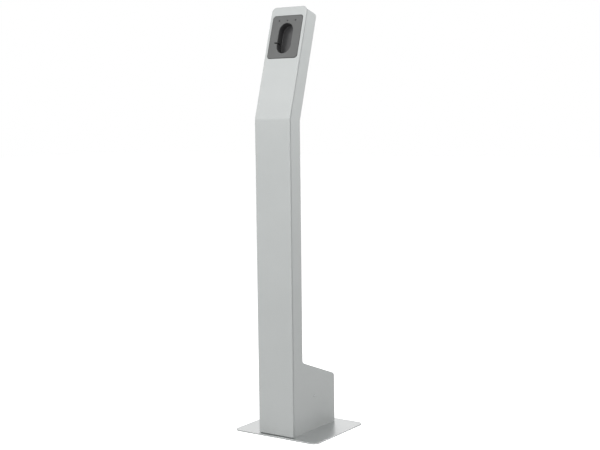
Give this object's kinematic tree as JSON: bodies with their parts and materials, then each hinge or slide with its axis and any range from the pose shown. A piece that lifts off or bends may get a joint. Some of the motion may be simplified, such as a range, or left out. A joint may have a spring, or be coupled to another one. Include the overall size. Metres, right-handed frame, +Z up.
{
  "type": "ev charging post",
  "caption": "Slim sheet-metal charging post with a tilted head, dark niche insert, thick front panel and a lockable service box on a floor plate.",
  "frame": {"origin": "middle of the base plate's underside, on the floor", "axes": "+X to the right seen from the front, +Y to the back, away from the head's face, +Z up"},
  "size_m": [0.3, 0.272, 1.2785],
  "materials": {
    "plate_steel": "satin steel",
    "sheet_paint": "satin silver-grey powder coat",
    "insert_plastic": "fine-grained dark grey moulding",
    "rubber": "matt black",
    "light_guide": "smoked, unlit",
    "zinc_steel": "zinc plated",
    "lock_metal": "satin chrome",
    "brass": "plain",
    "board_green": "solder mask",
    "part_black": "moulded",
    "device_light": "moulded",
    "device_dark": "moulded",
    "device_beige": "moulded",
    "lever_blue": "moulded",
    "button_orange": "moulded"
  },
  "bodies": {
    "post": {"base_plate": "plate_steel", "side_left": "sheet_paint", "side_right": "sheet_paint", "back_wall": "sheet_paint", "front_panel": "sheet_paint", "head_insert": "insert_plastic", "insert_gasket": "rubber", "entry_grommet": "rubber", "light_pipes": "light_guide", "foot_screws": "zinc_steel", "panel_studs": "zinc_steel", "panel_spacers": "zinc_steel", "panel_nuts": "zinc_steel", "insert_nuts": "zinc_steel", "board_screws": "zinc_steel", "cup_screws": "zinc_steel", "bracket_screws": "zinc_steel", "rail_screws": "zinc_steel", "keeper_screws": "zinc_steel", "din_rail": "zinc_steel", "rail_brackets": "zinc_steel", "lock_keeper": "zinc_steel", "earth_stud": "brass", "earth_nuts": "brass", "board_standoffs": "brass", "control_board": "board_green", "board_parts": "part_black", "niche_cup": "part_black", "breaker": "device_light", "contactor": "device_dark", "terminal_blocks": "device_beige", "end_clamps": "device_beige"},
    "cover": {"rear_cover": "sheet_paint", "lock_housing": "lock_metal", "lock_nut": "zinc_steel"},
    "lock": {"lock_barrel": "lock_metal", "lock_cam": "zinc_steel", "cam_screw": "zinc_steel"},
    "lever": {"breaker_lever": "lever_blue"},
    "button": {"test_button": "button_orange"}
  },
  "joints": [
    {"name": "cover_lift_off", "type": "slide", "parent": "post", "child": "cover", "axis": [0, 1, 0], "range_m": [0, 0.2]},
    {"name": "lock_turn", "type": "hinge", "parent": "cover", "child": "lock", "pos_m": [0, 0.105, 0.079], "axis": [0, 1, 0], "range_deg": [0, 90]},
    {"name": "breaker_switch", "type": "hinge", "parent": "post", "child": "lever", "pos_m": [-0.0395, 0.055, 0.11], "axis": [1, 0, 0], "range_deg": [0, 70]},
    {"name": "test_press", "type": "slide", "parent": "post", "child": "button", "axis": [0, -1, 0], "range_m": [0, 0.0025], "stiffness_N_per_m": 200}
  ]
}
